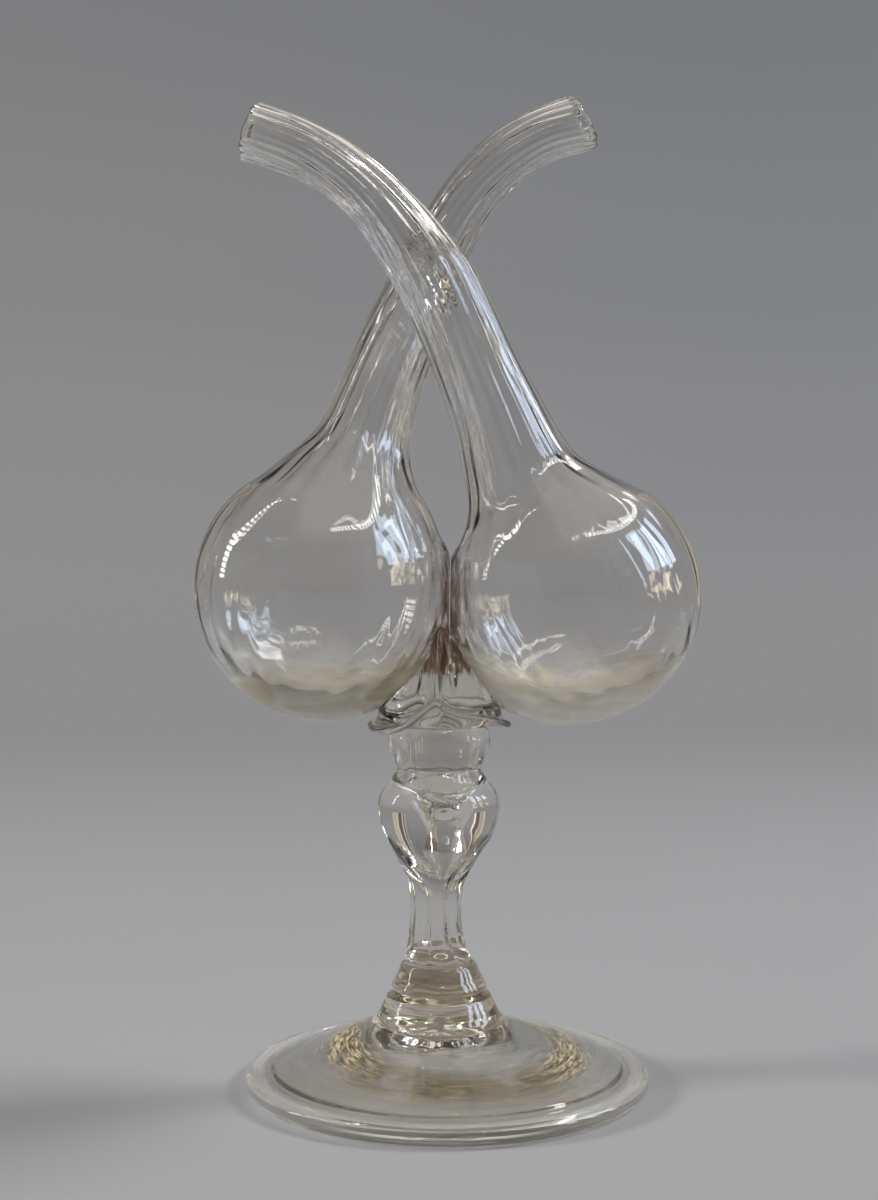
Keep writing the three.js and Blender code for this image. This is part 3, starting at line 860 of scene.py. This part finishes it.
# Overhead, by direction: the pale ceiling, and the dark of the room high up at the left
CEILING = (0.80, 0.75, 0.67, 1.0)
CEILING_ABOVE = (0.5, 0.9)
DARK_SIDE = (-0.15, -0.45)
DARK_ABOVE = (0.30, 0.50)
DARK_SHARE = 0.85

# The window, with panes between bars and a town below the sky
SKY = (6.6, 7.9, 10.0, 1.0)
TOWN = (6.2, 5.3, 3.9, 1.0)
WINDOW_BEARING = (62, 110)
WINDOW_SKY = (17, 44)
WINDOW_TOWN = (2, 17)
WINDOW_BARS = 16.0
PANE = (0.22, 0.80)
HOUSES = (0.42, 0.56)

# The slatted blind at the left, and the row of lit slats high up
BLIND = (15.0, 14.7, 14.2, 1.0)
BLIND_BEARING = (-97.5, -92.5)
BLIND_HEIGHT = (6, 66)
BLIND_SLATS = 3.2
SLAT = (0.2, 0.8, 0.12)
SLAT_TOP = (50.0, 54.5)
SLAT_TOP_BEARING = (12, 145)


def backdrop_colour(n, direction):
    """Grey that darkens upwards, a little warmer at the left than at the right."""
    xyz = n.axes(direction)
    ramp = n.add("ShaderNodeValToRGB", {0: xyz["Z"]})
    ramp.color_ramp.interpolation = "EASE"
    stops = ramp.color_ramp.elements
    for stop, (position, color) in zip(stops, (BACKDROP[0], BACKDROP[-1])):
        stop.position, stop.color = position, (*color, 1)
    for position, color in BACKDROP[1:-1]:
        stops.new(position).color = (*color, 1)
    tint = n.mix(n.step(xyz["X"], *TINT_ACROSS), BACKDROP_WARM, BACKDROP_COOL)
    tint = n.mix(n.step(xyz["Z"], *TINT_ABOVE), grey(1.0), tint)
    return n.vector("MULTIPLY", ramp.outputs[0], tint)


def wall_colour(n, bearing):
    """Light, dark and bright stripes, with a plain part and door frames towards the backdrop."""
    aside = n.math("ABSOLUTE", bearing)
    around = {"W": n.times(bearing, WALL_STRIPES), "Scale": 1.0, "Detail": 3.0}
    stripes = n.add("ShaderNodeTexNoise", around, noise_dimensions="1D").outputs[0]
    walls = n.mix(n.step(stripes, *STRIPE_LIGHT), WALL_DARK, WALL_LIGHT)
    walls = n.mix(n.step(stripes, *STRIPE_BRIGHT), walls, WALL_BRIGHT)
    walls = n.mix(n.inside(aside, *DOOR_FRAMES, 1.0), walls, WALL_DARK)
    return n.mix(n.step(aside, *PLAIN_WALL), WALL_PLAIN, walls)


def with_window(n, room, direction, bearing, height):
    """The room with its window: panes of sky between bars, and sunlit houses below."""
    bar = n.math("FRACT", n.math("DIVIDE", bearing, WINDOW_BARS))
    window = n.times(n.inside(bearing, *WINDOW_BEARING, 0.6), n.inside(bar, *PANE, 0.02))
    sky = n.times(window, n.inside(height, *WINDOW_SKY, 0.6))
    town = n.times(window, n.inside(height, *WINDOW_TOWN, 0.4))
    town = n.times(town, n.step(n.noise(direction, 8.0, 1.0), *HOUSES))
    return n.mix(town, n.mix(sky, room, SKY), TOWN)


def with_blind(n, room, bearing, height):
    """The room with its slatted blind, and a row of lit slats high up."""
    slat = n.math("FRACT", n.math("DIVIDE", height, BLIND_SLATS))
    blind = n.times(n.inside(slat, *SLAT), n.inside(bearing, *BLIND_BEARING, 0.3))
    room = n.mix(n.times(blind, n.inside(height, *BLIND_HEIGHT, 0.5)), room, BLIND)
    slat = n.math("FRACT", n.math("DIVIDE", bearing, 1.5 * BLIND_SLATS))
    top = n.times(n.inside(slat, *SLAT), n.inside(height, *SLAT_TOP, 0.4))
    return n.mix(n.times(top, n.inside(bearing, *SLAT_TOP_BEARING, 0.5)), room, BLIND)


def room_light():
    """The world: a plain grey backdrop for the camera, and the room that the glass mirrors."""
    world = bpy.data.worlds.new("room")
    bpy.context.scene.world = world
    world.use_nodes = True
    n = Nodes(world.node_tree)
    direction = n.add("ShaderNodeTexCoord").outputs["Generated"]
    xyz = n.axes(direction)
    bearing = n.times(n.math("ARCTAN2", xyz["X"], n.times(xyz["Y"], -1.0)), 180 / math.pi)
    height = n.times(n.math("ARCSINE", xyz["Z"]), 180 / math.pi)
    backdrop = backdrop_colour(n, direction)
    viewer = n.times(n.inside(bearing, *VIEWER_BEARING, 8), n.inside(height, *VIEWER_HEIGHT, 8))
    room = n.mix(viewer, wall_colour(n, bearing), VIEWER_SHADE)
    room = n.mix(n.step(n.math("ABSOLUTE", bearing), *BACKDROP_FROM), room, backdrop)
    room = n.mix(n.step(xyz["Z"], *CEILING_ABOVE), room, CEILING)
    dark_corner = n.times(n.step(xyz["X"], *DARK_SIDE), n.step(xyz["Z"], *DARK_ABOVE), DARK_SHARE)
    room = n.mix(dark_corner, room, WALL_DARK)
    room = with_blind(n, with_window(n, room, direction, bearing, height), bearing, height)
    path = n.add("ShaderNodeLightPath").outputs
    mirrored = n.math("MAXIMUM", path["Is Glossy Ray"], path["Is Transmission Ray"])
    seen = n.mix(mirrored, n.mix(path["Is Camera Ray"], grey(ROOM_FILL), backdrop), room)
    background = n.add("ShaderNodeBackground", {"Color": seen, "Strength": 1.0}).outputs[0]
    n.add("ShaderNodeOutputWorld", {"Surface": background})


# The floor, its grain, and how far out it fades into the backdrop
FLOOR_SIZE = 3.0
FLOOR_COLOUR = (0.40, 0.40, 0.41, 1.0)
FLOOR_GRAIN = (0.394, 0.394, 0.40385, 1.0)
FLOOR_FADE = (0.10, 1.30)
FLOOR_DROP = -0.0001


def studio_floor():
    """A plain pale floor that fades into the backdrop."""
    mesh = bpy.data.meshes.new("studio_floor")
    corners = [(-1, -1), (1, -1), (1, 1), (-1, 1)]
    mesh.from_pydata([(x * FLOOR_SIZE, y * FLOOR_SIZE, FLOOR_DROP) for x, y in corners], [], [(0, 1, 2, 3)])
    floor = new_object("studio_floor", mesh)
    material, n = new_material("floor_paper")
    place_at = n.add("ShaderNodeTexCoord").outputs["Object"]
    grain = n.noise(place_at, 9.0, 2.0)
    shade = n.mix(n.step(grain, 0.3, 0.7), FLOOR_GRAIN, FLOOR_COLOUR)
    paper = n.add("ShaderNodeBsdfDiffuse", {"Color": shade}).outputs[0]
    far = n.vector("LENGTH", place_at)
    horizon = n.add("ShaderNodeEmission", {"Color": (*BACKDROP[0][1], 1), "Strength": 1.0}).outputs[0]
    path = n.add("ShaderNodeLightPath").outputs
    mirrored = n.math("MAXIMUM", path["Is Glossy Ray"], path["Is Transmission Ray"])
    seen = n.math("MAXIMUM", path["Is Camera Ray"], mirrored)
    outward = {"Value": far, "From Min": FLOOR_FADE[0], "From Max": FLOOR_FADE[1]}
    fade = n.times(n.add("ShaderNodeMapRange", outward).outputs["Result"], seen)
    surface = n.add("ShaderNodeMixShader", {0: fade, 1: paper, 2: horizon}).outputs[0]
    n.add("ShaderNodeOutputMaterial", {"Surface": surface})
    mesh.materials.append(material)


def area_lamp(name, at, size, watts, colour):
    """A soft lamp aimed at the object, seen neither by the camera nor in the glass."""
    lamp = bpy.data.lights.new(name, "AREA")
    lamp.shape = "RECTANGLE"
    lamp.size, lamp.size_y = size
    lamp.energy = watts
    lamp.color = colour
    holder = new_object(name, lamp)
    holder.location = at
    aim = Vector((0, 0, 0.1)) - Vector(at)
    holder.rotation_euler = aim.to_track_quat("-Z", "Y").to_euler()
    holder.visible_camera = False
    holder.visible_glossy = False
    holder.visible_transmission = False


def camera():
    data = bpy.data.cameras.new("camera")
    data.sensor_fit = "VERTICAL"
    data.sensor_height = SENSOR
    data.lens = FOCAL
    data.clip_start = 0.01
    holder = new_object("camera", data)
    holder.location = CAMERA_AT
    holder.rotation_euler = (math.pi / 2, 0, 0)
    bpy.context.scene.camera = holder


def lamps():
    area_lamp("window_lamp", (1.75, 0.40, 1.45), (0.60, 0.50), 35.0, (0.97, 0.985, 1.0))
    area_lamp("blind_lamp", (-2.15, -0.27, 1.02), (0.50, 0.40), 45.0, (1.0, 0.985, 0.96))


# How far dried oil clouds the bottoms of the bulbs and the lips; the right bulb's bottom takes more of it, as
# painted light from the window at the right. The film lies in a bowl, which
# rises by FILM_BOWL times the square of the distance from the bulb's axis, in metres.
FILM = 0.85
FILM_BOWL = 10.0
BULB_AXIS = 36.0
LIP_FILM = 0.05

# How clear the scratched foot is, and how much hazier its rim
FOOT_CLEARNESS = 0.97
RIM_HAZE = 0.14

# The painted reflection in the foot, a ring mottled golden and brown: its middle and its reach
FOOT_REFLECTION_RING = {"x": 2.5, "y": -6, "from": 27, "to": 37}

# What one face of glass lets through to a shadow
SHADOW_TINT = (0.62, 0.62, 0.61, 1.0)

# The colours of the glass, clear and amber where it is thick, and of the dried oil and dirt. The bulbs' amber
# carries painted light and shade, and the foot's ring is a painted reflection.
FLASK_CLEAR = (0.950, 0.942, 0.928, 1.0)
BOTTOM_PALE = (0.96, 0.94, 0.88, 1.0)
# Amber of the thick bulb bottoms, darker at the left and paler at the right: painted shade and painted light
# from the window at the right
LEFT_AMBER_PAINTED_SHADE = (0.62, 0.54, 0.38, 1.0)
RIGHT_AMBER_PAINTED_LIT = (0.86, 0.78, 0.62, 1.0)
CREVICE_OIL = (0.20, 0.09, 0.035, 1.0)
WELD_CLEAR = (0.94, 0.93, 0.90, 1.0)
WELD_DIRT = (0.22, 0.12, 0.06, 1.0)
COLLAR_CLEAR = (0.80, 0.77, 0.71, 1.0)
COLLAR_AMBER = (0.64, 0.57, 0.44, 1.0)
COLLAR_OIL = (0.19, 0.085, 0.035, 1.0)
STEM_CLEAR = (0.93, 0.915, 0.885, 1.0)
STEM_SMOKY = (0.90, 0.88, 0.835, 1.0)
CONE_AMBER = (0.61, 0.55, 0.45, 1.0)
FOOT_CLEAR = (0.985, 0.965, 0.92, 1.0)
FOOT_DOME = (0.56, 0.48, 0.36, 1.0)
# A painted reflection in the foot: golden glints and brown patches in a ring, standing in for what the foot
# mirrors
PAINTED_GOLDEN_GLINTS = (0.98, 0.84, 0.56, 1.0)
PAINTED_BROWN_REFLECTION = (0.36, 0.30, 0.19, 1.0)


def glass_surface(name, tone):
    """Glass with the colour and clearness of tone, which lets most light through to its shadow."""
    material, n = new_material(name)
    place_at = n.add("ShaderNodeTexCoord").outputs["Object"]
    fine = n.noise(place_at, 260.0, 1.0)
    bump = n.add("ShaderNodeBump", {"Strength": 0.02, "Distance": 0.0001, "Height": fine}).outputs[0]
    colour, clearness = tone(n, place_at)
    inputs = {
        "Base Color": colour, "Roughness": 0.0, "IOR": 1.5, "Transmission Weight": clearness, "Normal": bump,
    }
    glass = n.add("ShaderNodeBsdfPrincipled", inputs).outputs[0]
    clear = n.add("ShaderNodeBsdfTransparent", {"Color": SHADOW_TINT}).outputs[0]
    shadow = n.add("ShaderNodeLightPath").outputs["Is Shadow Ray"]
    surface = n.add("ShaderNodeMixShader", {0: shadow, 1: glass, 2: clear}).outputs[0]
    n.add("ShaderNodeOutputMaterial", {"Surface": surface})
    return material


def flask_tone(n, place_at):
    """Clear at the sides, warmer where the bulb is thick, brown where oil dried in the crevice, with the left
    bulb's bottom darker and the right's paler as painted shade and painted light.
    """
    xyz = n.axes(place_at)
    from_axis = n.math("SUBTRACT", n.math("ABSOLUTE", xyz["X"]), BULB_AXIS * MM)
    bowl = n.math("SUBTRACT", xyz["Z"], n.times(from_axis, from_axis, FILM_BOWL))
    low = n.step(bowl, 0.122, 0.110)
    layers = n.stretched(place_at, (0.7, 0.7, 2.2))
    cloud = n.noise(layers, 60.0, 2.0)
    # The bulbs' amber differs by side: painted shade on the left bulb, painted light on the right
    right = n.step(xyz["X"], -0.015, 0.015)
    thick = n.mix(right, LEFT_AMBER_PAINTED_SHADE, RIGHT_AMBER_PAINTED_LIT)
    amber = n.mix(n.step(cloud, 0.48, 0.66), BOTTOM_PALE, thick)
    body = n.mix(low, FLASK_CLEAR, amber)
    streaks = n.stretched(place_at, (1.0, 1.0, 0.25))
    grime = n.noise(streaks, 700.0, 4.0)
    near = n.math("ABSOLUTE", n.math("SUBTRACT", xyz["X"], CONTACT_X * MM))
    crevice = n.times(n.step(near, 0.006, 0.001), n.inside(xyz["Z"], 0.119, 0.151, 0.004))
    dirt = n.times(n.step(grime, 0.42, 0.58), n.times(crevice, 0.9))
    film = n.times(n.step(bowl, 0.118, 0.110), n.step(cloud, 0.1, 0.7), FILM)
    # The right bulb's bottom takes more of the pale film: painted light from the window at the right
    film = n.times(film, n.math("ADD", 0.72, n.times(right, 0.28)))
    for flask in (LEFT_FLASK, RIGHT_FLASK):
        mouth = [c * MM for c in flask["neck"][-1][:3]]
        away = n.vector("DISTANCE", place_at, mouth)
        film = n.math("ADD", film, n.times(n.step(away, 0.0112, 0.0086), LIP_FILM))
    clearness = n.math("SUBTRACT", 1.0, n.math("ADD", film, n.times(dirt, 0.3)))
    return n.mix(dirt, body, CREVICE_OIL), clearness


def weld_tone(n, place_at):
    """Clear in the middle, with brown dirt along the edge of the joint."""
    centre = [c * MM for c in WELD["centre"]]
    shifted = n.vector("SUBTRACT", place_at, centre)
    upright = {"Vector": shifted, "Rotation": (0.0, -math.radians(WELD["lean"]), 0.0)}
    turned = n.add("ShaderNodeVectorRotate", upright, rotation_type="EULER_XYZ").outputs[0]
    aside = n.math("ABSOLUTE", n.axes(turned)["X"])
    edge = n.step(aside, 0.35 * WELD["across"] * MM, 0.8 * WELD["across"] * MM)
    grime = n.noise(place_at, 600.0, 4.0)
    dirt = n.times(n.step(grime, 0.38, 0.6), edge)
    return n.mix(dirt, WELD_CLEAR, WELD_DIRT), 1.0


def collar_tone(n, place_at):
    """Clear petals, with brown dried oil in streaks down the ridge between the bulbs."""
    xyz = n.axes(place_at)
    streaks = n.stretched(place_at, (1.0, 1.0, 0.16))
    grime = n.noise(streaks, 900.0, 3.0)
    ragged = n.math("ADD", xyz["Z"], n.times(n.math("SUBTRACT", grime, 0.5), 0.012))
    dried = n.step(ragged, 0.1165, 0.1205)
    dirt = n.times(dried, n.step(grime, 0.20, 0.50))
    cloud = n.noise(place_at, 160.0, 3.0)
    body = n.mix(n.step(cloud, 0.5, 0.7), COLLAR_CLEAR, COLLAR_AMBER)
    clearness = n.math("SUBTRACT", 1.0, n.times(dirt, 0.6))
    return n.mix(dirt, body, COLLAR_OIL), clearness


def foot_tone(n, place_at):
    """Clear, darker in the thick dome, with a painted reflection round it: a ring mottled golden and brown,
    its glints brighter at the sides.
    """
    xyz = n.axes(place_at)
    across = n.math("SUBTRACT", xyz["X"], FOOT_REFLECTION_RING["x"] * MM)
    along = n.math("SUBTRACT", xyz["Y"], FOOT_REFLECTION_RING["y"] * MM)
    out = n.math("SQRT", n.math("ADD", n.times(across, across), n.times(along, along)))
    turn = n.times(n.math("ARCTAN2", along, across), 0.005)
    unrolled = n.add("ShaderNodeCombineXYZ", {"X": turn, "Y": out}).outputs[0]
    # The ring is a painted reflection: golden glints in streaks and brown patches
    glint_specks = n.noise(unrolled, 1300.0, 5.0, distortion=0.7)
    reflection_patches = n.noise(place_at, 95.0, 3.0)
    ring = n.inside(out, FOOT_REFLECTION_RING["from"] * MM, FOOT_REFLECTION_RING["to"] * MM, 3.5 * MM)
    # The painted glints are brighter at the left and right
    glints_at_side = n.step(xyz["Y"], -0.034, -0.014)
    painted_glints = n.times(ring, n.step(reflection_patches, 0.32, 0.46), n.step(glint_specks, 0.45, 0.60))
    painted_glints = n.times(painted_glints, n.math("ADD", 0.3, n.times(glints_at_side, 0.7)))
    brown = n.times(ring, n.step(reflection_patches, 0.28, 0.50))
    middle = n.add("ShaderNodeCombineXYZ", {"X": xyz["X"], "Y": xyz["Y"]}).outputs[0]
    reach = n.vector("LENGTH", middle)
    body = n.mix(n.step(reach, 0.022, 0.014), FOOT_CLEAR, FOOT_DOME)
    body = n.mix(brown, body, PAINTED_BROWN_REFLECTION)
    rim = n.times(n.step(reach, 0.0515, 0.054), RIM_HAZE)
    clearness = n.math("SUBTRACT", FOOT_CLEARNESS, n.math("ADD", n.times(painted_glints, 0.6), rim))
    return n.mix(painted_glints, body, PAINTED_GOLDEN_GLINTS), clearness


def stem_tone(n, place_at):
    """Clear, a little smoky, and darker in the solid cone."""
    height = n.axes(place_at)["Z"]
    cloud = n.noise(place_at, 60.0, 2.0)
    body = n.mix(cloud, STEM_CLEAR, STEM_SMOKY)
    return n.mix(n.step(height, 0.0375, 0.034), body, CONE_AMBER), 1.0


def fused_joint():
    """The faces inside a fused joint, which aren't there to see."""
    material, n = new_material("fused_joint")
    clear = n.add("ShaderNodeBsdfTransparent", {"Color": grey(1.0)}).outputs[0]
    n.add("ShaderNodeOutputMaterial", {"Surface": clear})
    return material


def build():
    joint = fused_joint()
    flask_glass = glass_surface("flask_glass", flask_tone)
    weld_glass = glass_surface("weld_glass", weld_tone)
    collar_glass = glass_surface("collar_glass", collar_tone)
    stem_glass = glass_surface("stem_glass", stem_tone)
    foot_glass = glass_surface("foot_glass", foot_tone)
    flasks = {"left": LEFT_FLASK, "right": RIGHT_FLASK}
    outsides = {side: flask_surface(flask, flask_rows(flask), inside=False) for side, flask in flasks.items()}
    trees = {side: tree_of(outer) for side, (outer, _) in outsides.items()}
    weld = weld_surface(trees)
    collar = collar_surface(trees)
    welded = [tree_of(weld), tree_of(collar)]
    for side, other in (("left", "right"), ("right", "left")):
        blown_flask(flasks[side], *outsides[side], [trees[other], *welded], flask_glass, joint)
    neck_weld(weld, trees, weld_glass, joint)
    pinched_collar(collar, trees, collar_glass, joint)
    hollow_knop(stem_glass, joint)
    baluster(stem_glass, joint)
    stem_cone(stem_glass, joint)
    domed_foot(foot_glass, joint)


bpy.context.scene.view_settings.view_transform = "Standard"
camera()
room_light()
studio_floor()
lamps()
build()
